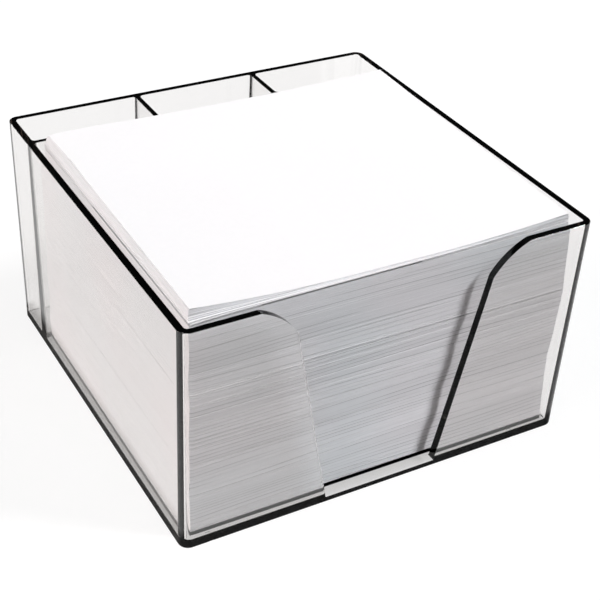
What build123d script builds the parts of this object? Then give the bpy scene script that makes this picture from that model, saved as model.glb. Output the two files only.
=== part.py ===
from build123d import *

import os
from math import cos, pi, radians, sin, tan

# Memo paper holder: a clear one-piece moulded tray with a deep well for loose memo
# sheets, a thumb opening in its front wall and a row of small compartments behind
# the paper, filled with a stack of loose white sheets.
#
# Frame: millimetres, +Z up, origin in the middle of the standing face.
# The thumb opening faces -Y, the rear compartments lie towards +Y.

# ---------------------------------------------------------------- driving sizes

# memo paper
sheet_width = 91.0            # left to right
sheet_depth = 80.0            # front to back
fill_below_rim = 0.9          # the pressed stack ends this far below the rim
bundle_count = 20             # bundles that the stack is divided into
bent_bundles = 5              # upper bundles whose side edges lift
bundle_lift = 0.5             # lift of the uppermost bundle's side edges
flat_half_width = 9.0         # half of the middle stretch that stays flat
bundle_air = 0.03             # air under each bent bundle

# uneven stacking of the bundles
sideways_share = 0.22         # mean shift to the right, as a share of the side gap
bulge_share = 0.27            # long bulges of the stack's sides
ripple_share = 0.10           # small steps from bundle to bundle
bulge_bundles = 14.0          # bundles from one bulge to the next
bulge_peak = 12.6             # bundle that stands furthest to the right
ripple_bundles = 3.1          # bundles from one small step to the next
forward_share = 0.6           # mean shift forwards, as a share of the back gap
sway_share = 0.35             # uneven front, as a share of the back gap
sway_bundles = 4.7            # bundles from one forward sway to the next
mean_turn = -0.2              # degrees, the whole stack is a little skewed
turn_swing = 0.12             # degrees, from bundle to bundle
turn_bundles = 5.3            # bundles from one turn to the next

# loose leaves on the pressed stack, from below to above
leaf_gap = 0.05               # air between loose layers in the middle
lower_leaves_thickness = 0.5
lower_leaves_lift_left = 0.75
lower_leaves_lift_right = 0.8
lower_leaves_turn = -0.1      # degrees
upper_leaves_thickness = 0.45
upper_leaves_lift_left = 0.85
upper_leaves_lift_right = 1.1
upper_leaves_turn = -0.35
top_sheet_thickness = 0.12
top_sheet_lift_left = 1.5
top_sheet_lift_right = 1.45
top_sheet_turn = -0.5
leaves_shift = 0.3            # sideways and back, from one loose layer to the next

# room around the paper, at the rim
side_clearance = 2.8
front_clearance = 2.0
back_clearance = 1.3

# tray moulding
tray_height = 57.0            # standing face to rim
rim_wall = 1.7                # outer walls at the rim
web_wall = 1.3                # partition and dividers at the rim
floor_thickness = 1.5         # standing face to the inside floor
outer_draft = 0.5             # degrees, outer faces lean in towards the floor
inner_draft = 0.8             # degrees, pocket faces lean in towards the floor
corner_radius = 2.4           # outer upright corners
base_edge_radius = 0.5        # around the lower edge
pocket_floor_radius = 0.4     # where the pocket walls meet the floor
web_corner_radius = 0.8       # upright pocket corners beside the webs
rim_edge_radius = 0.25

# rear compartments
compartment_count = 3
compartment_depth = 12.0      # front to back, at the rim

# thumb opening in the front wall
opening_floor_width = 28.8
opening_rim_width = 50.8      # where the slanted edges would meet the rim
shoulder_radius = 9.2
opening_overshoot = 20.0      # the cut's outline reaches this far past the rim edges

# underside
foot_width = 2.2              # standing ring left around the shallow relief
foot_height = 0.25
nick_width = 1.0              # narrow breaks in the ring near the corners
nick_from_corner = 9.0

# ---------------------------------------------------------------- derived sizes

pocket_height = tray_height - floor_thickness
outer_lean = tray_height * tan(radians(outer_draft))
pocket_lean = pocket_height * tan(radians(inner_draft))

tray_width = sheet_width + 2 * (side_clearance + rim_wall)
well_width = sheet_width + 2 * side_clearance
well_depth = front_clearance + sheet_depth + back_clearance
tray_depth = rim_wall + well_depth + web_wall + compartment_depth + rim_wall
base_width = tray_width - 2 * outer_lean
base_depth = tray_depth - 2 * outer_lean
base_corner_radius = corner_radius - outer_lean / 2
inner_corner_radius = corner_radius - rim_wall

front_face_y = -tray_depth / 2
well_front_y = front_face_y + rim_wall
well_centre_y = well_front_y + well_depth / 2
row_centre_y = tray_depth / 2 - rim_wall - compartment_depth / 2
compartment_width = (well_width - (compartment_count - 1) * web_wall) / compartment_count
compartment_pitch = compartment_width + web_wall

paper_front_y = well_front_y + front_clearance
paper_back_y = paper_front_y + sheet_depth
stack_top_z = tray_height - fill_below_rim
bundle_thickness = (stack_top_z - floor_thickness) / bundle_count
floor_side_gap = side_clearance - pocket_lean
floor_back_gap = back_clearance - pocket_lean


# ---------------------------------------------------------------- moulded tray


def drafted_pocket(width, depth, radius):
    """A pocket from the inside floor to just past the rim, narrower at its floor."""
    floor_width = width - 2 * pocket_lean
    floor_depth = depth - 2 * pocket_lean
    with BuildPart() as pocket:
        with BuildSketch(Plane.XY.offset(floor_thickness)):
            RectangleRounded(floor_width, floor_depth, radius)
        with BuildSketch(Plane.XY.offset(tray_height)):
            RectangleRounded(width, depth, radius)
        loft()
        fillet(pocket.edges().group_by(Axis.Z)[0], pocket_floor_radius)
    return pocket.part


memo_well = drafted_pocket(well_width, well_depth, inner_corner_radius)
rear_pocket = drafted_pocket(compartment_width, compartment_depth, web_corner_radius)

floor_corner = Vector(opening_floor_width / 2, floor_thickness)
shoulder = Vector(opening_rim_width / 2, tray_height)
past_shoulder = shoulder + Vector(opening_overshoot, 0)
past_rim = past_shoulder + Vector(0, opening_overshoot)

with BuildPart() as thumb_opening:
    with BuildSketch(Plane.XZ.offset(-well_front_y - rim_wall / 2)) as opening_face:
        with BuildLine():
            edge_line = FilletPolyline(
                floor_corner, shoulder, past_shoulder, radius=shoulder_radius
            )
            Polyline(edge_line @ 1, past_rim, (0, past_rim.Y))
            Line((0, floor_thickness), floor_corner)
            mirror(about=Plane.YZ)
        make_face()
    extrude(amount=2 * rim_wall + outer_lean + pocket_lean, both=True)

with BuildPart() as holder_tray:
    with BuildSketch(Plane.XY):
        RectangleRounded(base_width, base_depth, base_corner_radius)
    with BuildSketch(Plane.XY.offset(tray_height)):
        RectangleRounded(tray_width, tray_depth, corner_radius)
    loft()
    fillet(holder_tray.edges().group_by(Axis.Z)[0], base_edge_radius)
    with Locations((0, well_centre_y, 0)):
        add(memo_well, mode=Mode.SUBTRACT)
    with Locations((0, row_centre_y, 0)):
        with GridLocations(compartment_pitch, 1, compartment_count, 1):
            add(rear_pocket, mode=Mode.SUBTRACT)
    fillet(holder_tray.edges().group_by(Axis.Z)[-1], rim_edge_radius)
    add(thumb_opening.part, mode=Mode.SUBTRACT)
    with BuildSketch(Plane.XY):
        RectangleRounded(
            base_width - 2 * foot_width,
            base_depth - 2 * foot_width,
            base_corner_radius,
        )
    extrude(amount=foot_height, mode=Mode.SUBTRACT)
    with BuildSketch(Plane.XY):
        with GridLocations(
            base_width - 2 * nick_from_corner, base_depth - foot_width, 2, 2
        ):
            Rectangle(nick_width, 2 * foot_width)
    extrude(amount=foot_height, mode=Mode.SUBTRACT)

holder_tray.part.label = "holder_tray"


# ---------------------------------------------------------------- memo sheets


def back_edge_plane(shift_right, shift_back, base_z, turn):
    """The upright plane of a layer's back edge: x runs right, y up, z forwards."""
    return Plane(
        origin=(shift_right, paper_back_y + shift_back, base_z),
        x_dir=(cos(radians(turn)), sin(radians(turn)), 0),
        z_dir=(sin(radians(turn)), -cos(radians(turn)), 0),
    )


def flat_layer(label, back_edge, thickness):
    """A layer of sheets that lies flat."""
    with BuildPart() as layer:
        with BuildSketch(back_edge):
            Rectangle(sheet_width, thickness, align=(Align.CENTER, Align.MIN))
        extrude(amount=sheet_depth)
    layer.part.label = label
    return layer.part


def bent_layer(label, back_edge, thickness, lift_left, lift_right):
    """A layer that is flat in the middle and curves up to its left and right edges."""
    flat, half = flat_half_width, sheet_width / 2
    with BuildPart() as layer:
        with BuildSketch(back_edge):
            with BuildLine():
                Line((-flat, 0), (flat, 0))
                TangentArc((flat, 0), (half, lift_right), tangent=(1, 0))
                Line((half, lift_right), (half, lift_right + thickness))
                TangentArc(
                    (flat, thickness), (half, lift_right + thickness), tangent=(1, 0)
                )
                Line((flat, thickness), (-flat, thickness))
                TangentArc(
                    (-flat, thickness), (-half, lift_left + thickness), tangent=(-1, 0)
                )
                Line((-half, lift_left + thickness), (-half, lift_left))
                TangentArc((-flat, 0), (-half, lift_left), tangent=(-1, 0))
            make_face()
        extrude(amount=sheet_depth)
    layer.part.label = label
    return layer.part


def cycle(index, bundles):
    """Angle of a wave that repeats after a number of bundles."""
    return 2 * pi * index / bundles


def sideways_place(index):
    """Place of a bundle left to right: long bulges with a small step each time."""
    bulge = bulge_share * cos(cycle(index - bulge_peak, bulge_bundles))
    ripple = ripple_share * sin(cycle(index, ripple_bundles))
    return floor_side_gap * (sideways_share + bulge + ripple)


def lengthwise_place(index):
    """Place of a bundle front to back, always clear of the partition."""
    return floor_back_gap * (sway_share * sin(cycle(index, sway_bundles)) - forward_share)


def bundle_turn(index):
    """Skew of a bundle in degrees."""
    return mean_turn + turn_swing * sin(cycle(index, turn_bundles))


def pressed_bundle(index):
    """A bundle of the pressed stack, with lifted sides in the uppermost bundles."""
    label = f"sheet_bundle_{index + 1:02d}"
    base_z = floor_thickness + index * bundle_thickness
    bent_step = index + 1 - (bundle_count - bent_bundles)
    air = bundle_air if bent_step > 0 else 0
    back_edge = back_edge_plane(
        sideways_place(index), lengthwise_place(index), base_z + air, bundle_turn(index)
    )
    if bent_step > 0:
        lift = bundle_lift * (bent_step / bent_bundles) ** 2
        return bent_layer(label, back_edge, bundle_thickness - air, lift, lift)
    return flat_layer(label, back_edge, bundle_thickness)


sheet_bundles = [pressed_bundle(index) for index in range(bundle_count)]

lower_leaves_z = stack_top_z + leaf_gap
upper_leaves_z = lower_leaves_z + lower_leaves_thickness + leaf_gap
top_sheet_z = upper_leaves_z + upper_leaves_thickness + leaf_gap

lower_loose_leaves = bent_layer(
    "lower_loose_leaves",
    back_edge_plane(leaves_shift, -leaves_shift, lower_leaves_z, lower_leaves_turn),
    lower_leaves_thickness,
    lower_leaves_lift_left,
    lower_leaves_lift_right,
)
upper_loose_leaves = bent_layer(
    "upper_loose_leaves",
    back_edge_plane(0, 0, upper_leaves_z, upper_leaves_turn),
    upper_leaves_thickness,
    upper_leaves_lift_left,
    upper_leaves_lift_right,
)
top_sheet = bent_layer(
    "top_sheet",
    back_edge_plane(0, leaves_shift, top_sheet_z, top_sheet_turn),
    top_sheet_thickness,
    top_sheet_lift_left,
    top_sheet_lift_right,
)

# ---------------------------------------------------------------- files

loose_layers = [lower_loose_leaves, upper_loose_leaves, top_sheet]

os.makedirs("parts", exist_ok=True)
for piece in [holder_tray.part, *sheet_bundles, *loose_layers]:
    export_step(piece, f"parts/{piece.label}.step")
    print(f"{piece.label}: {piece.volume / 1000:.2f} cm3")
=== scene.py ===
"""Dressed model of a clear moulded memo paper holder filled with loose white sheets.

All lengths are in metres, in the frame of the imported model: +Z up, the origin in the
middle of the standing face, the thumb opening towards -Y.
"""

import logging
import math
import random
from dataclasses import dataclass, field
from enum import Enum
from typing import Callable, Sequence

import bpy
from mathutils import Matrix, Vector


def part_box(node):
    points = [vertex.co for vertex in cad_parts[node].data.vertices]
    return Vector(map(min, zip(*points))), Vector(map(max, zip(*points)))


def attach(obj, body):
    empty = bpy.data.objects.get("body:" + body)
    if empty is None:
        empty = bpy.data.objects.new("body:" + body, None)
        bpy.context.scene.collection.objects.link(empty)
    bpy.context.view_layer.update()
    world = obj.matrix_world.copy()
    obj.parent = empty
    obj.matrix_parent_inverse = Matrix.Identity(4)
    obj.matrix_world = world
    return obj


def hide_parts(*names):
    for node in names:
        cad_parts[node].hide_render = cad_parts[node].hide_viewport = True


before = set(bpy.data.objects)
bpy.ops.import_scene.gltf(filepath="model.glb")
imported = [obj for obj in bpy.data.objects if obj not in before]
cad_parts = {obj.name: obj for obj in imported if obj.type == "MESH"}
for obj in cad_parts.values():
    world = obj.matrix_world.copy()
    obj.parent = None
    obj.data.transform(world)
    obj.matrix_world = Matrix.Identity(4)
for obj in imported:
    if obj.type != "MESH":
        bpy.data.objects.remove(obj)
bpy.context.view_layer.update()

LOG = logging.getLogger("memo_holder")
MM = 0.001
TOUCH = 0.01 * MM  # places nearer than this are one place
FACING = 0.5  # least share of a normal along an axis for a face that looks that way
SMOOTH_BELOW = math.radians(30)  # edges that bend less are shaded smooth
WAVE_BANDS = 20.0  # radians of a wave texture to one unit
SHUFFLE_SEED = 7

Piece = bpy.types.Object
Face = bpy.types.MeshPolygon
Socket = bpy.types.NodeSocket
Colour = tuple[float, float, float, float]
Triple = tuple[float, float, float]


# ------------------------------------------------------------------ edit-mode helpers


def deselect_all() -> None:
    """Leave no object selected."""
    if bpy.context.object and bpy.context.object.mode != "OBJECT":
        bpy.ops.object.mode_set(mode="OBJECT")
    bpy.ops.object.select_all(action="DESELECT")


def make_active(piece: Piece) -> None:
    """Select one piece and make it the active one.

    Args:
        piece: The piece.
    """
    deselect_all()
    piece.select_set(True)
    bpy.context.view_layer.objects.active = piece


def settle(piece: Piece) -> None:
    """Put the object's place and scale into its mesh, so that it sits at the origin."""
    make_active(piece)
    bpy.ops.object.transform_apply(location=True, rotation=True, scale=True)


def enter_edit() -> None:
    """Go to edit mode."""
    bpy.ops.object.mode_set(mode="EDIT")


def leave_edit() -> None:
    """Go back to object mode."""
    bpy.ops.object.mode_set(mode="OBJECT")


def open_with_none(piece: Piece, kind: str) -> None:
    """Clear a piece's own selection and end in object mode.

    Args:
        piece: The mesh object.
        kind: What is selected next: VERT, EDGE or FACE.
    """
    make_active(piece)
    enter_edit()
    bpy.ops.mesh.select_mode(type=kind)
    bpy.ops.mesh.select_all(action="DESELECT")
    leave_edit()


def pick_faces(piece: Piece, wanted: Callable[[Face], bool]) -> None:
    """Open a piece in edit mode with only the wanted faces selected.

    Args:
        piece: The mesh object.
        wanted: Says of a face whether it is to be selected.
    """
    open_with_none(piece, "FACE")
    for face in piece.data.polygons:
        face.select = wanted(face)
    enter_edit()


def pick_edges(piece: Piece, wanted: Callable[[Vector, Vector], bool]) -> None:
    """Open a piece in edit mode with only the wanted edges selected.

    Args:
        piece: The mesh object.
        wanted: Says of an edge's two ends whether it is to be selected.
    """
    open_with_none(piece, "EDGE")
    points = piece.data.vertices
    for edge in piece.data.edges:
        edge.select = wanted(*(points[end].co for end in edge.vertices))
    enter_edit()


def pick_points(piece: Piece, wanted: Callable[[Vector], bool]) -> None:
    """Open a piece in edit mode with only the wanted points selected.

    Args:
        piece: The mesh object.
        wanted: Says of a point whether it is to be selected.
    """
    open_with_none(piece, "VERT")
    for point in piece.data.vertices:
        point.select = wanted(point.co)
    enter_edit()


def looks_up(face: Face) -> bool:
    """Whether a face looks upwards."""
    return face.normal.z > FACING


def is_upright(start: Vector, end: Vector) -> bool:
    """Whether an edge climbs from one end to the other."""
    return abs(start.z - end.z) > TOUCH


def extrude_picked(move: Sequence[float]) -> None:
    """Draw the picked faces out by a distance."""
    bpy.ops.mesh.extrude_region_move(TRANSFORM_OT_translate={"value": move})


def scale_picked(share: Sequence[float], middle: Sequence[float]) -> None:
    """Scale what is picked along each axis, about a middle."""
    bpy.ops.transform.resize(value=share, center_override=middle)


def round_picked(radius: float, steps: int) -> None:
    """Round the picked edges and go back to object mode."""
    bpy.ops.mesh.bevel(offset=radius, segments=steps, affect="EDGES")
    leave_edit()


def shade_smooth(piece: Piece) -> None:
    """Shade a piece smooth, except over its sharp edges."""
    make_active(piece)
    bpy.ops.object.shade_smooth_by_angle(angle=SMOOTH_BELOW)


def apply_modifier(piece: Piece, kind: str, **settings: object) -> None:
    """Give a piece a modifier and apply it.

    Args:
        piece: The mesh object.
        kind: Blender's name of the modifier's type.
        settings: Values of the modifier's own fields.
    """
    modifier = piece.modifiers.new(kind.lower(), kind)
    for name, value in settings.items():
        setattr(modifier, name, value)
    make_active(piece)
    bpy.ops.object.modifier_apply(modifier=modifier.name)


def carve(piece: Piece, cutter: Piece) -> None:
    """Take the cutter's space out of a piece and throw the cutter away.

    Args:
        piece: The piece that is cut.
        cutter: The space, as a closed mesh object.
    """
    apply_modifier(
        piece, "BOOLEAN", operation="DIFFERENCE", solver="EXACT", object=cutter
    )
    bpy.data.objects.remove(cutter, do_unlink=True)


def block(name: str, low: Sequence[float], high: Sequence[float]) -> Piece:
    """A closed block between two corners, as the start of a piece or of a cutter.

    Args:
        name: The object's name.
        low: Lowest corner.
        high: Highest corner.

    Returns:
        The block.
    """
    deselect_all()
    middle = [(a + b) / 2 for a, b in zip(low, high)]
    size = [b - a for a, b in zip(low, high)]
    bpy.ops.mesh.primitive_cube_add(size=1, location=middle, scale=size)
    made = bpy.context.object
    made.name = name
    settle(made)
    return made


# ------------------------------------------------------------------ finishes


class Slot(Enum):
    """The record's material slots."""

    PLASTIC = "clear_smoke_plastic"
    PAPER = "memo_paper"


def fill(node: bpy.types.Node, inputs: dict[str, object]) -> None:
    """Give a node's inputs their values, by names with underscores for spaces."""
    for name, value in inputs.items():
        node.inputs[name.replace("_", " ")].default_value = value


@dataclass
class NodeSheet:
    """A node tree, with short ways to add and join its nodes."""

    tree: bpy.types.NodeTree

    def add(self, kind: str, **inputs: object) -> bpy.types.Node:
        """Add a node.

        Args:
            kind: Blender's name of the node's type.
            inputs: Values for its inputs, with underscores for spaces.

        Returns:
            The node.
        """
        made = self.tree.nodes.new(kind)
        fill(made, inputs)
        return made

    def join(self, out: Socket, into: Socket) -> None:
        """Link an output to an input."""
        self.tree.links.new(out, into)

    def place(self, output: str = "Object") -> Socket:
        """The piece's own coordinates, or its normal or the way a ray goes."""
        return self.add("ShaderNodeTexCoord").outputs[output]

    def axes(self, vector: Socket) -> bpy.types.bpy_prop_collection:
        """Take a vector apart.

        Args:
            vector: The vector.

        Returns:
            Its shares, by the names X, Y and Z.
        """
        split = self.add("ShaderNodeSeparateXYZ")
        self.join(vector, split.inputs["Vector"])
        return split.outputs

    def calc(
        self, operation: str, first: Socket, second: Socket | float | None = None
    ) -> Socket:
        """One number from one or two others.

        Args:
            operation: Blender's name of the sum.
            first: The first number.
            second: The second one, for a sum of two.

        Returns:
            The result.
        """
        made = self.add("ShaderNodeMath")
        made.operation = operation
        self.join(first, made.inputs[0])
        if isinstance(second, Socket):
            self.join(second, made.inputs[1])
        elif second is not None:
            made.inputs[1].default_value = second
        return made.outputs["Value"]

    def lay(self, texture: bpy.types.Node, stretch: Triple) -> Socket:
        """Lay a texture on the piece's own coordinates.

        Args:
            texture: The texture's node.
            stretch: Share of the texture's scale along each axis.

        Returns:
            The texture's value.
        """
        spread = self.add("ShaderNodeMapping", Scale=stretch)
        self.join(self.place(), spread.inputs["Vector"])
        self.join(spread.outputs["Vector"], texture.inputs["Vector"])
        return texture.outputs["Fac"]

    def noise(self, scale: float, detail: float, stretch: Triple = (1, 1, 1)) -> Socket:
        """Cloudy noise.

        Args:
            scale: Waves per metre.
            detail: Octaves.
            stretch: Share of the scale along each axis.

        Returns:
            The noise, about 0.3 to 0.7.
        """
        made = self.add("ShaderNodeTexNoise", Scale=scale, Detail=detail)
        return self.lay(made, stretch)

    def stripes(
        self, spacing: float, wander: float, cell: float, stretch: Triple
    ) -> Socket:
        """Level stripes, a value that climbs from 0 to 1 over the height of each.

        Args:
            spacing: Height of a stripe.
            wander: How far the stripes stray, in radians of a stripe.
            cell: Share of the stripes' own scale at which they stray.
            stretch: Share of the scale along each axis.

        Returns:
            The value.
        """
        made = self.add(
            "ShaderNodeTexWave",
            Scale=math.tau / WAVE_BANDS / spacing,
            Distortion=wander,
            Detail=0.0,
            Detail_Scale=cell,
        )
        made.wave_type = "BANDS"
        made.bands_direction = "Z"
        made.wave_profile = "SAW"
        return self.lay(made, stretch)

    def ramp(
        self,
        value: Socket,
        start: float,
        end: float,
        low: float = 0.0,
        high: float = 1.0,
        soft: bool = False,
    ) -> Socket:
        """Spread a value from one range to another, held at both ends.

        Args:
            value: The value.
            start: Where it starts to change.
            end: Where it stops.
            low: Result at the start.
            high: Result at the end.
            soft: Whether it eases in and out.

        Returns:
            The result.
        """
        made = self.add(
            "ShaderNodeMapRange", From_Min=start, From_Max=end, To_Min=low, To_Max=high
        )
        if soft:
            made.interpolation_type = "SMOOTHSTEP"
        self.join(value, made.inputs["Value"])
        return made.outputs["Result"]

    def tones(self, value: Socket, stops: Sequence[tuple[float, float]]) -> Socket:
        """Greys set at places along a value.

        Args:
            value: What is looked up.
            stops: Places and their greys, in rising order.

        Returns:
            The grey.
        """
        made = self.add("ShaderNodeValToRGB")
        self.join(value, made.inputs["Fac"])
        elements = made.color_ramp.elements
        while len(elements) < len(stops):
            elements.new(1.0)
        for element, (place, grey) in zip(elements, stops):
            element.position = place
            element.color = (grey, grey, grey, 1)
        return made.outputs["Color"]

    def blend(
        self, share: Socket | None, first: Socket | Colour, second: Socket | Colour
    ) -> Socket:
        """Mix two colours.

        Args:
            share: How much of the second there is; all of it if None.
            first: The first colour.
            second: The second colour.

        Returns:
            The mix.
        """
        made = self.add("ShaderNodeMix")
        made.data_type = "RGBA"
        if share is None:
            made.inputs["Factor"].default_value = 1.0
        else:
            self.join(share, made.inputs["Factor"])
        colours = [socket for socket in made.inputs if socket.type == "RGBA"]
        for socket, colour in zip(colours, (first, second)):
            if isinstance(colour, Socket):
                self.join(colour, socket)
            else:
                socket.default_value = colour
        return next(socket for socket in made.outputs if socket.type == "RGBA")

    def multiply(
        self, first: Socket, second: Socket, share: Socket | None = None
    ) -> Socket:
        """Darken one colour by another.

        Args:
            first: The colour.
            second: What it is multiplied by.
            share: How far; wholly if None.

        Returns:
            The darkened colour.
        """
        mixed = self.blend(share, first, second)
        mixed.node.blend_type = "MULTIPLY"
        return mixed

    def fade(self, share: Socket, first: Socket, second: Socket) -> Socket:
        """Fade one shader into another.

        Args:
            share: How much of the second there is.
            first: The first shader.
            second: The second shader.

        Returns:
            The mix.
        """
        made = self.add("ShaderNodeMixShader")
        for into, out in zip(made.inputs, (share, first, second)):
            self.join(out, into)
        return made.outputs["Shader"]

    def both(self, first: Socket, second: Socket) -> Socket:
        """Add up two shaders.

        Args:
            first: The first shader.
            second: The second shader.

        Returns:
            The sum.
        """
        made = self.add("ShaderNodeAddShader")
        for into, out in zip(made.inputs, (first, second)):
            self.join(out, into)
        return made.outputs["Shader"]


class MaterialSheet(NodeSheet):
    """The node tree of a new material."""

    def __init__(self, name: str) -> None:
        """Make the material and find its shader and output.

        Args:
            name: The material's name.
        """
        self.material = bpy.data.materials.new(name)
        self.material.use_nodes = True
        super().__init__(self.material.node_tree)
        self.shader = self.tree.nodes["Principled BSDF"]
        self.output = self.tree.nodes["Material Output"]

    def bump(self, height: Socket, distance: float) -> None:
        """Let a height bend the shader's surface.

        Args:
            height: The height, 0 to 1.
            distance: How far 1 is.
        """
        made = self.add("ShaderNodeBump", Distance=distance)
        self.join(height, made.inputs["Height"])
        self.join(made.outputs["Normal"], self.shader.inputs["Normal"])


@dataclass(frozen=True)
class ClearSmokePlastic:
    """Polished light-smoke polystyrene: clear across a wall, dark along its length.

    Light from the lamps passes the flat faces straight, and mostly not the cut edges,
    which throw it back inside the wall.
    """

    tint: Colour = (1, 1, 1, 1)
    smoke: Colour = (0.60, 0.555, 0.525, 1)
    smoke_density: float = 100.0
    ior: float = 1.59
    specular_tint: Colour = (0.8, 0.8, 0.8, 1)
    least_roughness: float = 0.0
    most_roughness: float = 0.03
    haze_scale: float = 35.0
    haze_detail: float = 4.0
    haze_from: float = 0.5
    haze_to: float = 0.8
    flow_scale: float = 28.0
    flow_detail: float = 1.0
    flow_height: float = 0.015 * MM
    face_lets_through: Colour = (0.985, 0.985, 0.985, 1)
    edge_lets_through: Colour = (0.02, 0.015, 0.01, 1)
    edge_from: float = 0.08
    edge_to: float = 0.16

    def build(self) -> bpy.types.Material:
        """Make the material, with its faint surface flow and its smoke inside.

        Returns:
            The material.
        """
        sheet = MaterialSheet("clear_smoke_plastic")
        shader = sheet.shader
        fill(
            shader,
            {
                "Base_Color": self.tint,
                "Transmission_Weight": 1.0,
                "IOR": self.ior,
                "Specular_Tint": self.specular_tint,
            },
        )
        rough = sheet.ramp(
            sheet.noise(self.haze_scale, self.haze_detail),
            self.haze_from,
            self.haze_to,
            self.least_roughness,
            self.most_roughness,
        )
        sheet.join(rough, shader.inputs["Roughness"])
        sheet.bump(sheet.noise(self.flow_scale, self.flow_detail), self.flow_height)
        upwards = sheet.axes(sheet.place("Normal"))["Z"]
        edge = sheet.ramp(upwards, self.edge_from, self.edge_to)
        passing = sheet.add("ShaderNodeBsdfTransparent")
        sheet.join(
            sheet.blend(edge, self.face_lets_through, self.edge_lets_through),
            passing.inputs["Color"],
        )
        path = sheet.add("ShaderNodeLightPath").outputs
        lighting = sheet.calc("MAXIMUM", path["Is Shadow Ray"], path["Is Diffuse Ray"])
        sheet.join(
            sheet.fade(lighting, shader.outputs["BSDF"], passing.outputs["BSDF"]),
            sheet.output.inputs["Surface"],
        )
        smoke = sheet.add(
            "ShaderNodeVolumeAbsorption", Color=self.smoke, Density=self.smoke_density
        )
        sheet.join(smoke.outputs["Volume"], sheet.output.inputs["Volume"])
        return sheet.material


@dataclass(frozen=True)
class PaperFace:
    """The flat side of uncoated writing paper: white and matt, with a fibre grain."""

    light: Colour = (0.905, 0.895, 0.905, 1)
    shade: Colour = (0.875, 0.868, 0.88, 1)
    roughness: float = 0.8
    specular: float = 0.25
    fibre_scale: float = 900.0
    fibre_detail: float = 5.0
    fibre_height: float = 0.012 * MM

    def build(self) -> bpy.types.Material:
        """Make the material.

        Returns:
            The material.
        """
        sheet = MaterialSheet("paper_face")
        fill(
            sheet.shader,
            {"Roughness": self.roughness, "Specular_IOR_Level": self.specular},
        )
        fibre = sheet.noise(self.fibre_scale, self.fibre_detail)
        white = sheet.blend(fibre, self.shade, self.light)
        sheet.join(white, sheet.shader.inputs["Base Color"])
        sheet.bump(fibre, self.fibre_height)
        return sheet.material


@dataclass(frozen=True)
class PaperCutEdge:
    """The guillotined edge of a pile of sheets: greyer, with fine uneven lines.

    Painted shade darkens it a little towards the rim, and a painted shadow darkens it
    sharply at the foot of the front; low down and on the front it is painted a little
    lighter. The lines are faint on the sides and fade in and out along the front.
    """

    light: Colour = (0.845, 0.86, 0.885, 1)
    warm: Colour = (0.88, 0.86, 0.885, 1)
    # painted shade and light: darker towards the rim, lighter low down and on the
    # front, for the light from the floor
    painted_top_shade: Colour = (0.87, 0.87, 0.87, 1)
    painted_brightening: Colour = (1.03, 1.03, 1.03, 1)
    painted_shade_from: float = 8.0 * MM
    painted_shade_to: float = 52.0 * MM
    # painted shadow: a near-black band at the foot of the stack's front, where it sits
    # down in the tray
    painted_foot_shadow: Colour = (0.05, 0.055, 0.045, 1)
    painted_foot_shadow_from: float = 2.6 * MM
    painted_foot_shadow_to: float = 2.8 * MM
    roughness: float = 0.85
    specular: float = 0.2
    tone_scale: float = 28.0
    tone_detail: float = 1.0
    tone_from: float = 0.4
    tone_to: float = 0.6
    line_spacing: float = 0.95 * MM
    line_wander: float = 9.0
    line_cell: float = 0.5
    line_stretch: Triple = (0.1, 0.1, 1.0)
    line_tones: tuple[tuple[float, float], ...] = (
        (0.0, 0.64),
        (0.16, 0.64),
        (0.24, 1.0),
        (0.38, 1.0),
        (0.46, 0.95),
        (1.0, 0.95),
    )
    fade_scale: float = 1100.0
    fade_stretch: Triple = (0.03, 0.03, 1.0)
    fade_from: float = 0.35
    fade_to: float = 0.6
    faintest: float = 0.1
    side_lines: float = 0.25

    def build(self) -> bpy.types.Material:
        """Make the material.

        Returns:
            The material.
        """
        sheet = MaterialSheet("paper_cut_edge")
        fill(
            sheet.shader,
            {"Roughness": self.roughness, "Specular_IOR_Level": self.specular},
        )
        tone = sheet.noise(self.tone_scale, self.tone_detail)
        tone = sheet.ramp(tone, self.tone_from, self.tone_to)
        ground = sheet.blend(tone, self.light, self.warm)
        height = sheet.axes(sheet.place())["Z"]
        # painted shade by height: darker towards the rim, lighter low down
        upper = sheet.ramp(height, self.painted_shade_from, self.painted_shade_to)
        ground = sheet.multiply(
            ground, sheet.blend(upper, self.painted_brightening, self.painted_top_shade)
        )
        # painted shadow at the foot of the front, and painted brightening above it
        above_painted_foot_shadow = sheet.ramp(height, self.painted_foot_shadow_from, self.painted_foot_shadow_to)
        foot = sheet.blend(above_painted_foot_shadow, self.painted_foot_shadow, self.painted_brightening)
        stripes = sheet.stripes(
            self.line_spacing, self.line_wander, self.line_cell, self.line_stretch
        )
        lines = sheet.tones(stripes, self.line_tones)
        frontal = sheet.calc("ABSOLUTE", sheet.axes(sheet.place("Normal"))["Y"])
        strength = sheet.calc(
            "MULTIPLY",
            sheet.ramp(frontal, 0.0, 1.0, self.side_lines),
            sheet.ramp(
                sheet.noise(self.fade_scale, 0.0, self.fade_stretch),
                self.fade_from,
                self.fade_to,
                self.faintest,
            ),
        )
        lined = sheet.multiply(ground, lines, strength)
        # the painted foot shadow and the painted brightening go on the front faces only
        sheet.join(
            sheet.multiply(lined, foot, frontal), sheet.shader.inputs["Base Color"]
        )
        return sheet.material


# ------------------------------------------------------------------ the moulded tray


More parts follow.
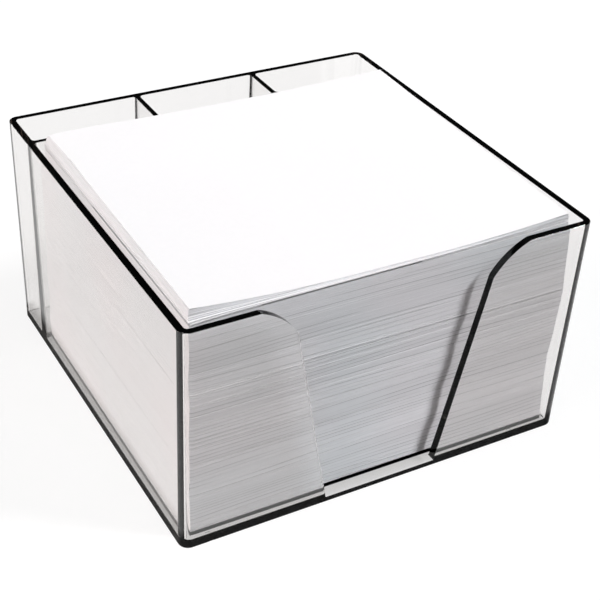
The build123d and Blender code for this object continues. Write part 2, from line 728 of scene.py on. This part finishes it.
@dataclass
class HolderTray:
    """The one-piece tray: well, rear compartments, thumb opening and standing ring."""

    rim_wall: float = 1.7 * MM
    web_wall: float = 1.3 * MM
    floor_thickness: float = 1.5 * MM
    outer_draft: float = math.radians(0.5)
    inner_draft: float = math.radians(0.8)
    corner_radius: float = 2.4 * MM
    base_edge_radius: float = 0.35 * MM
    pocket_floor_radius: float = 0.4 * MM
    web_corner_radius: float = 0.8 * MM
    rim_edge_radius: float = 0.22 * MM
    compartment_count: int = 3
    compartment_depth: float = 12.0 * MM
    opening_floor_width: float = 28.8 * MM
    opening_rim_width: float = 50.8 * MM
    shoulder_radius: float = 9.2 * MM
    foot_width: float = 2.2 * MM
    foot_height: float = 0.25 * MM
    relief_slope: float = 2.0 * MM
    nick_width: float = 1.0 * MM
    nick_places: tuple[float, float] = (-42.6 * MM, 37.4 * MM)
    past_rim: float = 3.0 * MM
    corner_steps: int = 12
    edge_steps: int = 4
    shoulder_steps: int = 20
    finish: ClearSmokePlastic = field(default_factory=ClearSmokePlastic)
    height: float = field(init=False)
    width: float = field(init=False)
    depth: float = field(init=False)

    def __post_init__(self) -> None:
        """Read the moulding's outer size from the frame."""
        low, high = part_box("holder_tray")
        self.height = high.z
        self.width = round(high.x - low.x, 4)
        self.depth = round(high.y - low.y, 4)

    def drafted_block(
        self,
        name: str,
        rim_size: tuple[float, float],
        middle: tuple[float, float],
        heights: tuple[float, float],
        draft: float,
        corner_radius: float,
        low_edge_radius: float,
    ) -> Piece:
        """A block with rounded upright corners that narrows towards its lower end.

        Args:
            name: The object's name.
            rim_size: Width and depth at the height of the rim.
            middle: X and Y of its middle.
            heights: Lower and upper end.
            draft: Lean of its sides.
            corner_radius: Radius of its upright corners.
            low_edge_radius: Radius around its lower end.

        Returns:
            The block.
        """
        low_z, high_z = heights
        half = [side / 2 for side in rim_size]
        low_half = [side - (self.height - low_z) * math.tan(draft) for side in half]
        high_half = [side + (high_z - self.height) * math.tan(draft) for side in half]
        made = block(
            name,
            (middle[0] - low_half[0], middle[1] - low_half[1], low_z),
            (middle[0] + low_half[0], middle[1] + low_half[1], high_z),
        )
        pick_faces(made, looks_up)
        scale_picked(
            (high_half[0] / low_half[0], high_half[1] / low_half[1], 1),
            (*middle, high_z),
        )
        leave_edit()
        pick_edges(made, is_upright)
        round_picked(corner_radius, self.corner_steps)
        pick_edges(made, lambda a, b: max(a.z, b.z) < low_z + TOUCH)
        round_picked(low_edge_radius, self.edge_steps)
        return made

    def outer_body(self) -> Piece:
        """The solid outer form of the moulding.

        Returns:
            The form, as a block.
        """
        return self.drafted_block(
            "clear_tray",
            (self.width, self.depth),
            (0, 0),
            (0, self.height),
            self.outer_draft,
            self.corner_radius,
            self.base_edge_radius,
        )

    def pocket(
        self,
        name: str,
        rim_size: tuple[float, float],
        middle: tuple[float, float],
        corner_radius: float,
    ) -> Piece:
        """The space of one pocket, from the inside floor to past the rim.

        Args:
            name: The object's name.
            rim_size: Width and depth at the rim.
            middle: X and Y of its middle.
            corner_radius: Radius of its upright corners.

        Returns:
            The space, as a block.
        """
        return self.drafted_block(
            name,
            rim_size,
            middle,
            (self.floor_thickness, self.height + self.past_rim),
            self.inner_draft,
            corner_radius,
            self.pocket_floor_radius,
        )

    def pockets(self) -> list[Piece]:
        """The space of the memo well and of each rear compartment.

        Returns:
            One block for each.
        """
        well_width = self.width - 2 * self.rim_wall
        well_depth = (
            self.depth - 2 * self.rim_wall - self.web_wall - self.compartment_depth
        )
        well_y = -self.depth / 2 + self.rim_wall + well_depth / 2
        well_size = (well_width, well_depth)
        well_corner = self.corner_radius - self.rim_wall
        made = [self.pocket("memo_well", well_size, (0, well_y), well_corner)]
        webs = (self.compartment_count - 1) * self.web_wall
        pocket_width = (well_width - webs) / self.compartment_count
        row_y = self.depth / 2 - self.rim_wall - self.compartment_depth / 2
        for place in range(self.compartment_count):
            from_middle = place - (self.compartment_count - 1) / 2
            made.append(
                self.pocket(
                    f"rear_pocket_{place + 1}",
                    (pocket_width, self.compartment_depth),
                    (from_middle * (pocket_width + self.web_wall), row_y),
                    self.web_corner_radius,
                )
            )
        return made

    def thumb_opening(self) -> Piece:
        """The space of the thumb opening, with its two rounded shoulders.

        Returns:
            The space, as a block that reaches past the rim.
        """
        front = -self.depth / 2 - self.past_rim
        back = -self.depth / 2 + self.rim_wall + self.past_rim
        floor_half, rim_half = self.opening_floor_width / 2, self.opening_rim_width / 2

        def at_shoulder(point: Vector) -> bool:
            """Whether a point is where a slanted edge would meet the rim."""
            at_rim = abs(point.z - self.height) < TOUCH
            return at_rim and abs(abs(point.x) - rim_half) < TOUCH

        made = block(
            "thumb_opening",
            (-floor_half, front, self.floor_thickness),
            (floor_half, back, self.height),
        )
        pick_faces(made, looks_up)
        scale_picked(
            (rim_half / floor_half, 1, 1), (0, (front + back) / 2, self.height)
        )
        reach = 2 * self.shoulder_radius
        extrude_picked((0, 0, reach))
        leave_edit()
        for side in (-1, 1):
            pick_faces(
                made,
                lambda face: face.normal.x * side > FACING
                and face.center.z > self.height,
            )
            extrude_picked((side * reach, 0, 0))
            leave_edit()
        pick_edges(made, lambda a, b: at_shoulder(a) and at_shoulder(b))
        lean = math.atan2(rim_half - floor_half, self.height - self.floor_thickness)
        tangent = self.shoulder_radius / math.tan((math.pi / 2 + lean) / 2)
        round_picked(tangent, self.shoulder_steps)
        return made

    def round_rim(self, body: Piece) -> None:
        """Break the sharp edges of the rim and of the webs' tops.

        Args:
            body: The moulding, before the thumb opening is cut.
        """
        uses: dict[tuple[int, int], int] = {}
        for face in body.data.polygons:
            if looks_up(face) and face.center.z > self.height - TOUCH:
                for key in face.edge_keys:
                    uses[key] = uses.get(key, 0) + 1
        open_with_none(body, "EDGE")
        for edge in body.data.edges:
            edge.select = uses.get(tuple(sorted(edge.vertices))) == 1
        enter_edit()
        round_picked(self.rim_edge_radius, self.edge_steps)

    def underside(self) -> list[Piece]:
        """The shallow relief inside the standing ring and the nicks in the ring.

        Returns:
            The spaces to cut, as blocks.
        """
        lean = self.height * math.tan(self.outer_draft)
        half_x, half_y = self.width / 2 - lean, self.depth / 2 - lean
        low_x, low_y = half_x - self.foot_width, half_y - self.foot_width
        relief = block("relief", (-low_x, -low_y, -self.past_rim), (low_x, low_y, 0))
        pick_edges(relief, is_upright)
        round_picked(self.corner_radius, self.corner_steps)
        pick_faces(relief, looks_up)
        extrude_picked((0, 0, self.foot_height))
        scale_picked(
            (1 - self.relief_slope / low_x, 1 - self.relief_slope / low_y, 1), (0, 0, 0)
        )
        leave_edit()
        cutters = [relief]
        half_nick, nick_y = self.nick_width / 2, half_y - self.foot_width / 2
        for x in self.nick_places:
            for y in (-nick_y, nick_y):
                cutters.append(
                    block(
                        "nick",
                        (x - half_nick, y - self.foot_width, -self.past_rim),
                        (x + half_nick, y + self.foot_width, self.foot_height),
                    )
                )
        return cutters

    def build(self) -> None:
        """Model the moulding, dress it and set it on the tray's body."""
        body = self.outer_body()
        for pocket in self.pockets():
            carve(body, pocket)
        self.round_rim(body)
        carve(body, self.thumb_opening())
        for cutter in self.underside():
            carve(body, cutter)
        shade_smooth(body)
        apply_modifier(body, "WEIGHTED_NORMAL", keep_sharp=True)
        body.data.materials.clear()
        body.data.materials.append(self.finish.build())
        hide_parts("holder_tray")
        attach(body, "tray")
        LOG.info("%s: %d faces", body.name, len(body.data.polygons))


# ------------------------------------------------------------------ the paper


@dataclass(frozen=True)
class MemoSheet:
    """The flat size of one sheet, and where its side edges bend."""

    width: float = 91.0 * MM
    depth: float = 80.0 * MM
    side_from: float = 44.0 * MM
    side_reach: float = 36.5 * MM


@dataclass(frozen=True)
class Stacking:
    """How unevenly the pressed stack lies: the waves that its bundles follow."""

    bundle_count: int = 20
    bent_bundles: int = 5
    bundle_lift: float = 0.5 * MM
    back_edge: float = 33.7 * MM
    left_edge: float = -46.5 * MM
    left_share: float = 0.1
    floor_side_gap: float = 2.025 * MM
    floor_back_gap: float = 0.525 * MM
    sideways_share: float = 0.22
    bulge_share: float = 0.27
    bulge_bundles: float = 14.0
    bulge_peak: float = 12.6
    forward_share: float = 0.6
    sway_share: float = 0.15
    sway_bundles: float = 4.7
    mean_turn: float = -0.2
    turn_swing: float = 0.12
    turn_bundles: float = 5.3

    def wave(self, index: float, bundles: float) -> float:
        """Angle of a wave that repeats after a number of bundles."""
        return math.tau * index / bundles

    def sideways(self, index: float) -> float:
        """Place left to right at a height counted in bundles."""
        bulge = math.cos(self.wave(index - self.bulge_peak, self.bulge_bundles))
        return self.floor_side_gap * (self.sideways_share + self.bulge_share * bulge)

    def left(self, index: float) -> float:
        """Left edge at a height counted in bundles: straighter than the right one."""
        return self.left_edge + self.left_share * self.sideways(index)

    def lengthwise(self, index: float) -> float:
        """Place front to back at a height counted in bundles."""
        sway = self.sway_share * math.sin(self.wave(index, self.sway_bundles))
        return self.floor_back_gap * (sway - self.forward_share)

    def turn(self, index: float) -> float:
        """Skew at a height counted in bundles."""
        swing = self.turn_swing * math.sin(self.wave(index, self.turn_bundles))
        return math.radians(self.mean_turn + swing)

    def lift(self, number: int) -> float:
        """Lift of a bundle's right edge, with bundles numbered from 1 at the floor."""
        step = number - (self.bundle_count - self.bent_bundles)
        return self.bundle_lift * (max(step, 0) / self.bent_bundles) ** 2


@dataclass(frozen=True)
class LeafPlace:
    """Where one leaf of a pile lies."""

    x: float
    y: float
    turn: float
    wider: float = 0.0
    set_back: float = 0.0
    skew: float = 0.0


def scatter(rng: random.Random, reach: float) -> list[float]:
    """A chance shift in X and Y, each up to reach either way."""
    return [rng.uniform(-1, 1) * reach for _ in "xy"]


@dataclass
class PaperFinish:
    """The two materials of every layer of sheets."""

    face: bpy.types.Material
    cut_edge: bpy.types.Material

    def dress(self, layer: Piece) -> None:
        """Give a layer its flat faces and its cut edges.

        Args:
            layer: The layer.
        """
        layer.data.materials.clear()
        layer.data.materials.append(self.face)
        layer.data.materials.append(self.cut_edge)
        for face in layer.data.polygons:
            face.material_index = 0 if abs(face.normal.z) > FACING else 1


@dataclass
class SheetPile:
    """A closed pile of single leaves, each a little out of line with the one below."""

    name: str
    low_z: float
    leaf: float
    columns: int = 1
    rows: int = 1
    side_share: float = 0.15
    sheet: MemoSheet = MemoSheet()

    def shape(self, places: Sequence[LeafPlace]) -> Piece:
        """Model the pile leaf by leaf, from the lowest one up.

        Args:
            places: Where each leaf's middle lies.

        Returns:
            The pile.
        """
        deselect_all()
        bpy.ops.mesh.primitive_grid_add(
            x_subdivisions=self.columns,
            y_subdivisions=self.rows,
            size=1,
            location=(0, 0, self.low_z),
        )
        pile = bpy.context.object
        pile.name = self.name
        pile.scale = (self.sheet.width, self.sheet.depth, 1)
        settle(pile)
        enter_edit()
        bpy.ops.mesh.select_all(action="SELECT")
        bpy.ops.mesh.flip_normals()
        here, size = LeafPlace(0, 0, 0), (self.sheet.width, self.sheet.depth)
        for number, leaf in enumerate(places):
            move = (leaf.x - here.x, leaf.y - here.y, 0)
            if number:
                extrude_picked(move)
            else:
                bpy.ops.transform.translate(value=move)
            self.swing(leaf, leaf.turn + leaf.skew - here.turn)
            size = self.resize(leaf, size, leaf.set_back)
            extrude_picked((0, 0, self.leaf))
            if leaf.set_back:
                extrude_picked((0, 0, 0))
                size = self.resize(leaf, size, 0.0)
                self.swing(leaf, -leaf.skew)
            here = leaf
        leave_edit()
        return pile

    def swing(self, leaf: LeafPlace, angle: float) -> None:
        """Turn the selected faces about a leaf's middle.

        Args:
            leaf: The leaf.
            angle: How far, counter-clockwise.
        """
        if angle:
            bpy.ops.transform.rotate(
                value=-angle, orient_axis="Z", center_override=(leaf.x, leaf.y, 0)
            )

    def resize(
        self, leaf: LeafPlace, size: tuple[float, float], set_back: float
    ) -> tuple[float, float]:
        """Bring the selected faces to a leaf's size, drawn in at front and back.

        Args:
            leaf: The leaf.
            size: The faces' width and depth now.
            set_back: How far front and back are drawn in; the sides a share of it.

        Returns:
            The faces' new width and depth.
        """
        new = (
            self.sheet.width + leaf.wider - 2 * set_back * self.side_share,
            self.sheet.depth - 2 * set_back,
        )
        if new != size:
            scale_picked((new[0] / size[0], new[1] / size[1], 1), (leaf.x, leaf.y, 0))
        return new

    def at_right(self, point: Vector) -> bool:
        """Whether a point is on the right edge."""
        return point.x > self.sheet.side_from

    def at_left(self, point: Vector) -> bool:
        """Whether a point is on the left edge."""
        return point.x < -self.sheet.side_from

    def fan_out(
        self, pile: Piece, wanted: Callable[[Vector], bool], share: float
    ) -> None:
        """Open an edge of a pile like a fan, upwards from its lowest leaf.

        Args:
            pile: The pile.
            wanted: Says of a point whether it is on that edge.
            share: How many times as thick the pile is at that edge.
        """
        pick_points(pile, wanted)
        bpy.ops.transform.resize(
            value=(1, 1, share),
            center_override=(0, 0, self.low_z),
            use_proportional_edit=True,
            proportional_edit_falloff="SHARP",
            proportional_size=self.sheet.side_reach,
        )
        leave_edit()

    def lift(
        self,
        pile: Piece,
        wanted: Callable[[Vector], bool],
        height: float,
        reach: float,
        falloff: str = "SHARP",
    ) -> None:
        """Raise an edge of a pile, easing off to nothing further in.

        Args:
            pile: The pile.
            wanted: Says of a point whether it is on that edge.
            height: How far the edge rises.
            reach: How far in the rise begins.
            falloff: Blender's name for the way it eases off.
        """
        pick_points(pile, wanted)
        bpy.ops.transform.translate(
            value=(0, 0, height),
            use_proportional_edit=True,
            proportional_edit_falloff=falloff,
            proportional_size=reach,
        )
        leave_edit()


@dataclass
class PressedStack:
    """The pressed stack: twenty bundles of single leaves."""

    finish: PaperFinish
    stacking: Stacking = Stacking()
    sheet: MemoSheet = MemoSheet()
    leaves_per_bundle: int = 27
    off_floor: float = 0.04 * MM
    top_seam: float = 0.02 * MM
    shuffle: float = 0.012 * MM
    step: float = 0.05 * MM
    step_chance: float = 0.08
    low_gap_chance: float = 0.03
    high_gap_chance: float = 0.05
    gap_least: float = 0.04 * MM
    gap_most: float = 0.12 * MM
    gap_skew: float = math.radians(0.08)
    foot_leaves: int = 12
    foot_set_back: float = 0.3 * MM
    left_droop: float = 0.35 * MM
    droop_reach: float = 14.0 * MM
    bent_columns: int = 24
    drift: Vector = field(init=False, default_factory=lambda: Vector((0.0, 0.0)))

    def places(self, number: int, rng: random.Random) -> list[LeafPlace]:
        """Where the leaves of one bundle lie.

        Args:
            number: The bundle, from 1 at the floor.
            rng: Source of the chance shifts.

        Returns:
            The leaves' places, from the lowest one up.
        """
        stacking, made = self.stacking, []
        count, width = self.leaves_per_bundle, self.sheet.width
        middle_y = stacking.back_edge - self.sheet.depth / 2
        for leaf in range(count):
            index = number - 1.5 + (leaf + 0.5) / count  # 0 is halfway up bundle 1
            if rng.random() < self.step_chance:
                self.drift = Vector(scatter(rng, self.step))
            shift = self.drift + Vector(scatter(rng, self.shuffle))
            share = index / stacking.bundle_count
            chance = self.low_gap_chance + share * (
                self.high_gap_chance - self.low_gap_chance
            )
            gap = 0 < leaf < count - 1 and rng.random() < chance
            set_back = rng.uniform(self.gap_least, self.gap_most) if gap else 0.0
            if number == 1 and leaf < self.foot_leaves:
                gap, set_back = False, self.foot_set_back
            left = stacking.left(index) + shift.x
            right = stacking.sideways(index) + width / 2 + shift.x
            made.append(
                LeafPlace(
                    x=(left + right) / 2,
                    y=middle_y + stacking.lengthwise(index) + shift.y,
                    turn=stacking.turn(index),
                    wider=right - left - width,
                    set_back=set_back,
                    skew=rng.uniform(-1, 1) * self.gap_skew if gap else 0.0,
                )
            )
        return made

    def build(self, rng: random.Random) -> None:
        """Model, dress and mount every bundle.

        Args:
            rng: Source of the chance shifts.
        """
        stacking = self.stacking
        for number in range(1, stacking.bundle_count + 1):
            node = f"sheet_bundle_{number:02d}"
            low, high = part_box(node)
            lift = stacking.lift(number)
            bottom = low.z + (self.off_floor if number == 1 else 0.0)
            top = high.z - lift
            if number == stacking.bundle_count:
                top -= self.top_seam
            pile = SheetPile(
                name=f"leaves_{number:02d}",
                low_z=bottom,
                leaf=(top - bottom) / self.leaves_per_bundle,
                columns=self.bent_columns if lift else 1,
            )
            made = pile.shape(self.places(number, rng))
            if lift:
                droop = -self.left_droop * lift / stacking.bundle_lift
                pile.lift(made, pile.at_right, lift, self.sheet.side_reach)
                pile.lift(made, pile.at_left, droop, self.droop_reach)
            self.finish.dress(made)
            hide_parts(node)
            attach(made, "upper_sheets" if lift else "paper_stack")
            LOG.info("%s: %d faces", made.name, len(made.data.polygons))


@dataclass
class LooseLayer:
    """A few curled sheets that lie loose on the stack."""

    node: str
    body: str
    middle: tuple[float, float]
    turn: float
    sheets: int
    lift_left: float
    lift_right: float
    lift_back: float
    left_reach: float = MemoSheet.side_reach
    fan_left: float = 1.0
    seam_leaves: tuple[int, ...] = ()
    seam_set_back: float = 2.0 * MM
    spread_back: float = 0.0
    spread_turn: float = 0.0
    left_beyond: float = 0.0
    left_spread: float = 0.0
    left_until: float = 20.0 * MM
    shuffle: float = 0.06 * MM
    columns: int = 24
    rows: int = 16
    back_within: float = 1.5 * MM
    back_half: float = 30.0 * MM
    back_reach: float = 34.0 * MM
    sheet: MemoSheet = MemoSheet()

    def places(self, rng: random.Random) -> list[LeafPlace]:
        """Where the layer's leaves lie.

        Args:
            rng: Source of the chance shifts.

        Returns:
            The leaves' places, from the lowest one up.
        """
        made = []
        for number in range(self.sheets):
            share = math.sqrt(number / max(1, self.sheets - 1))
            shift = scatter(rng, self.shuffle)
            wider = self.left_beyond - self.left_spread * share
            made.append(
                LeafPlace(
                    x=self.middle[0] + shift[0] - wider / 2,
                    y=self.middle[1] + shift[1] + self.spread_back * share,
                    turn=math.radians(self.turn + self.spread_turn * share),
                    wider=wider,
                    set_back=self.seam_set_back if number in self.seam_leaves else 0.0,
                )
            )
        return made

    def build(self, finish: PaperFinish, rng: random.Random) -> None:
        """Model, dress and mount the layer.

        Args:
            finish: The paper's materials.
            rng: Source of the chance shifts.
        """
        low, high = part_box(self.node)
        thickness = high.z - low.z - max(self.lift_left, self.lift_right)
        pile = SheetPile(
            name=f"curled_{self.node}",
            low_z=low.z,
            leaf=thickness / self.sheets,
            columns=self.columns,
            rows=self.rows,
        )
        back_from = self.middle[1] + self.sheet.depth / 2 - self.back_within

        def at_left(point: Vector) -> bool:
            """Whether a point is on the left edge, short of its rear corner."""
            return pile.at_left(point) and point.y < self.left_until

        def at_back(point: Vector) -> bool:
            """Whether a point is on the middle stretch of the back edge."""
            return point.y > back_from and abs(point.x) < self.back_half

        made = pile.shape(self.places(rng))
        if self.fan_left > 1:
            pile.fan_out(made, at_left, self.fan_left)
        pile.lift(made, at_left, self.lift_left, self.left_reach)
        pile.lift(made, pile.at_right, self.lift_right, self.sheet.side_reach)
        pile.lift(made, at_back, self.lift_back, self.back_reach, "SMOOTH")
        shade_smooth(made)
        finish.dress(made)
        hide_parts(self.node)
        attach(made, self.body)
        LOG.info("%s: %d faces", made.name, len(made.data.polygons))


def build_loose_layers(finish: PaperFinish, rng: random.Random) -> None:
    """The three loose layers on the pressed stack.

    Args:
        finish: The paper's materials.
        rng: Source of the chance shifts.
    """
    lower = LooseLayer(
        node="lower_loose_leaves",
        body="lower_leaves",
        middle=(-0.2 * MM, -6.6 * MM),
        turn=-0.15,
        sheets=4,
        lift_left=-0.35 * MM,
        lift_right=0.8 * MM,
        lift_back=0.4 * MM,
        left_reach=14.0 * MM,
        seam_leaves=(1, 2),
        spread_back=0.05 * MM,
        spread_turn=0.2,
        left_beyond=0.8 * MM,
    )
    upper = LooseLayer(
        node="upper_loose_leaves",
        body="upper_leaves",
        middle=(0.0, -6.5 * MM),
        turn=-0.2,
        sheets=7,
        lift_left=-0.3 * MM,
        lift_right=1.1 * MM,
        lift_back=0.7 * MM,
        left_reach=14.0 * MM,
        fan_left=5.5,
        spread_back=0.55 * MM,
        spread_turn=-0.6,
        left_beyond=1.1 * MM,
        left_spread=0.9 * MM,
    )
    top = LooseLayer(
        node="top_sheet",
        body="top_leaf",
        middle=(0.0, -5.95 * MM),
        turn=-0.8,
        sheets=1,
        lift_left=1.95 * MM,
        lift_right=1.45 * MM,
        lift_back=1.0 * MM,
    )
    for layer in (lower, upper, top):
        layer.build(finish, rng)


# ------------------------------------------------------------------ the studio


def direction(side: float, height: float) -> Vector:
    """The way to a place in the sky.

    Args:
        side: Angle from the front, to the right.
        height: Angle above the floor.

    Returns:
        A vector of length 1.
    """
    return Vector(
        (
            math.sin(side) * math.cos(height),
            -math.cos(side) * math.cos(height),
            math.sin(height),
        )
    )


def background(sheet: NodeSheet, strength: Socket, colour: Colour) -> Socket:
    """Light of one colour and a strength that changes over the sky.

    Args:
        sheet: The world's node tree.
        strength: The strength.
        colour: The colour.

    Returns:
        The light, as a shader.
    """
    made = sheet.add("ShaderNodeBackground", Color=colour)
    sheet.join(strength, made.inputs["Strength"])
    return made.outputs["Background"]


@dataclass(frozen=True)
class Softbox:
    """A soft round patch of light in the sky, at full strength over its core."""

    side: float
    height: float
    half_width: float
    strength: float
    colour: Colour
    core: float = 0.55

    def glow(self, sheet: NodeSheet, ray: Socket) -> Socket:
        """Its light along a ray.

        Args:
            sheet: The world's node tree.
            ray: The way the ray goes.

        Returns:
            The light, as a shader.
        """
        dot = sheet.add("ShaderNodeVectorMath")
        dot.operation = "DOT_PRODUCT"
        dot.inputs[1].default_value = direction(self.side, self.height)
        sheet.join(ray, dot.inputs[0])
        strength = sheet.ramp(
            dot.outputs["Value"],
            math.cos(self.half_width),
            math.cos(self.half_width * self.core),
            0.0,
            self.strength,
            soft=True,
        )
        return background(sheet, strength, self.colour)


def shows_backdrop(sheet: NodeSheet, mirrored: Socket, through: Socket) -> Socket:
    """1 for a ray that shows the backdrop, straight, mirrored or through plastic.

    Args:
        sheet: The node tree to add to.
        mirrored: How much mirrored rays may see of it.
        through: How much rays through plastic may see of it.

    Returns:
        The share.
    """
    path = sheet.add("ShaderNodeLightPath").outputs
    unlit = sheet.calc("LESS_THAN", path["Diffuse Depth"], 0.5)
    share = sheet.calc(
        "MAXIMUM",
        sheet.calc("MULTIPLY", path["Is Glossy Ray"], mirrored),
        sheet.calc("MULTIPLY", path["Is Transmission Ray"], through),
    )
    share = sheet.calc("MULTIPLY", share, unlit)
    return sheet.calc("MAXIMUM", share, path["Is Camera Ray"])


@dataclass
class Studio:
    """The pale floor, the soft light and the camera."""

    floor_half: float = 3.0
    floor_colour: Colour = (0.22, 0.22, 0.22, 1)
    floor_white: float = 0.80
    # painted shadow: the floor's white fades out of reflections close to the tray, and
    # is dimmed to a share where it is seen through the tray
    painted_contact_shadow_from: float = 51.9 * MM
    painted_contact_shadow_to: float = 54.0 * MM
    painted_under_shadow_from: float = 48.0 * MM
    painted_under_shadow_to: float = 51.0 * MM
    painted_under_shadow_share: float = 0.68
    floor_below: float = 0.05 * MM
    sky_colour: Colour = (0.97, 0.985, 1.0, 1)
    zenith: float = 0.82
    belt: float = 0.02
    horizon: float = 0.06
    overhead_from: float = math.radians(48)
    overhead_full: float = math.radians(66)
    backdrop_top: float = math.radians(24)
    backdrop_full: float = math.radians(14)
    backdrop_colour: Colour = (1, 1, 1, 1)
    softboxes: tuple[Softbox, ...] = (
        Softbox(
            side=math.radians(-100),
            height=math.radians(18),
            half_width=math.radians(34),
            strength=5.25,
            colour=(1.0, 0.935, 0.905, 1),
        ),
        Softbox(
            side=math.radians(56),
            height=math.radians(38),
            half_width=math.radians(7.5),
            strength=79.0,
            colour=(0.97, 0.985, 1.0, 1),
        ),
    )
    camera_place: Triple = (-0.13753, -0.23898, 0.20685)
    azimuth: float = math.radians(-29.701)
    elevation: float = math.radians(33.959)
    roll: float = math.radians(2.563)
    sensor: float = 36.0
    focal_pixels: float = 1353.211
    picture_pixels: float = 600.0
    shift: tuple[float, float] = (0.0401, -0.0068)
    nearest: float = 0.01
    furthest: float = 20.0

    def floor(self) -> None:
        """A wide pale matt floor that keeps the object's shadow.

        Painted shadow keeps its white out of reflections against the tray, and dims it
        where it is seen through the tray.
        """
        deselect_all()
        bpy.ops.mesh.primitive_plane_add(
            size=2 * self.floor_half, location=(0, 0, -self.floor_below)
        )
        made = bpy.context.object
        made.name = "studio_floor"
        sheet = MaterialSheet("studio_floor")
        fill(
            sheet.shader,
            {
                "Base_Color": self.floor_colour,
                "Roughness": 1.0,
                "Specular_IOR_Level": 0.0,
            },
        )
        white = sheet.add("ShaderNodeEmission", Strength=self.floor_white)
        # painted shadow: the white is kept out of reflections against the tray and
        # dimmed when seen through it
        mirrored = self.away(sheet, self.painted_contact_shadow_from, self.painted_contact_shadow_to, 0.0)
        through = self.away(sheet, self.painted_under_shadow_from, self.painted_under_shadow_to, self.painted_under_shadow_share)
        matt = sheet.shader.outputs["BSDF"]
        sheet.join(
            sheet.fade(
                shows_backdrop(sheet, mirrored, through),
                matt,
                sheet.both(matt, white.outputs["Emission"]),
            ),
            sheet.output.inputs["Surface"],
        )
        made.data.materials.append(sheet.material)

    def away(
        self, sheet: NodeSheet, start: float, end: float, least: float
    ) -> Socket:
        """Painted shadow: a share, least under and against the tray, 1 further off.

        Args:
            sheet: The floor's node tree.
            start: Distance from the middle, along X or Y, where it starts to rise.
            end: Distance where it is 1.
            least: The share up to the start.

        Returns:
            The share.
        """
        place = sheet.axes(sheet.place())
        sides = [sheet.calc("ABSOLUTE", place[axis]) for axis in "XY"]
        return sheet.ramp(sheet.calc("MAXIMUM", *sides), start, end, least)

    def light(self) -> None:
        """A soft sky: bright overhead, a dark belt, two softboxes, a pale backdrop."""
        world = bpy.data.worlds.new("studio_light")
        bpy.context.scene.world = world
        world.use_nodes = True
        sheet = NodeSheet(world.node_tree)
        ray = sheet.place("Generated")
        height = sheet.axes(ray)["Z"]
        overhead = sheet.ramp(
            height,
            math.sin(self.overhead_from),
            math.sin(self.overhead_full),
            self.belt,
            self.zenith,
            soft=True,
        )
        low_share = sheet.ramp(
            height,
            math.sin(self.backdrop_top),
            math.sin(self.backdrop_full),
            soft=True,
        )
        low_light = sheet.ramp(low_share, 0.0, 1.0, 0.0, self.horizon)
        ambient = sheet.calc("ADD", overhead, low_light)
        total = background(sheet, ambient, self.sky_colour)
        for box in self.softboxes:
            total = sheet.both(total, box.glow(sheet, ray))
        backdrop = sheet.tree.nodes["Background"]
        fill(backdrop, {"Color": self.backdrop_colour, "Strength": 1.0})
        sheet.join(
            sheet.fade(
                shows_backdrop(sheet, low_share, low_share),
                total,
                backdrop.outputs["Background"],
            ),
            sheet.tree.nodes["World Output"].inputs["Surface"],
        )

    def camera(self) -> None:
        """The camera at the photograph's place and angle."""
        back = direction(self.azimuth, self.elevation)
        level = (-back).cross(Vector((0, 0, 1))).normalized()
        upright = level.cross(-back)
        right = math.cos(self.roll) * level + math.sin(self.roll) * upright
        up = math.cos(self.roll) * upright - math.sin(self.roll) * level
        data = bpy.data.cameras.new("camera")
        data.sensor_width = self.sensor
        data.lens = self.sensor * (self.focal_pixels / self.picture_pixels)
        data.shift_x, data.shift_y = self.shift
        data.clip_start, data.clip_end = self.nearest, self.furthest
        made = bpy.data.objects.new("camera", data)
        bpy.context.scene.collection.objects.link(made)
        facing = Matrix([[right[i], up[i], back[i]] for i in range(3)])
        made.matrix_world = Matrix.Translation(self.camera_place) @ facing.to_4x4()
        bpy.context.scene.camera = made

    def build(self) -> None:
        """Set up the floor, the light, the camera and the plain view."""
        self.camera()
        self.floor()
        self.light()
        bpy.context.scene.view_settings.view_transform = "Standard"


# ------------------------------------------------------------------ the whole holder


def main() -> None:
    """Build the studio, the tray and the paper."""
    logging.basicConfig(level=logging.INFO, format="%(name)s: %(message)s")
    Studio().build()
    HolderTray().build()
    finish = PaperFinish(PaperFace().build(), PaperCutEdge().build())
    rng = random.Random(SHUFFLE_SEED)
    PressedStack(finish).build(rng)
    build_loose_layers(finish, rng)


if __name__ == "__main__":
    main()
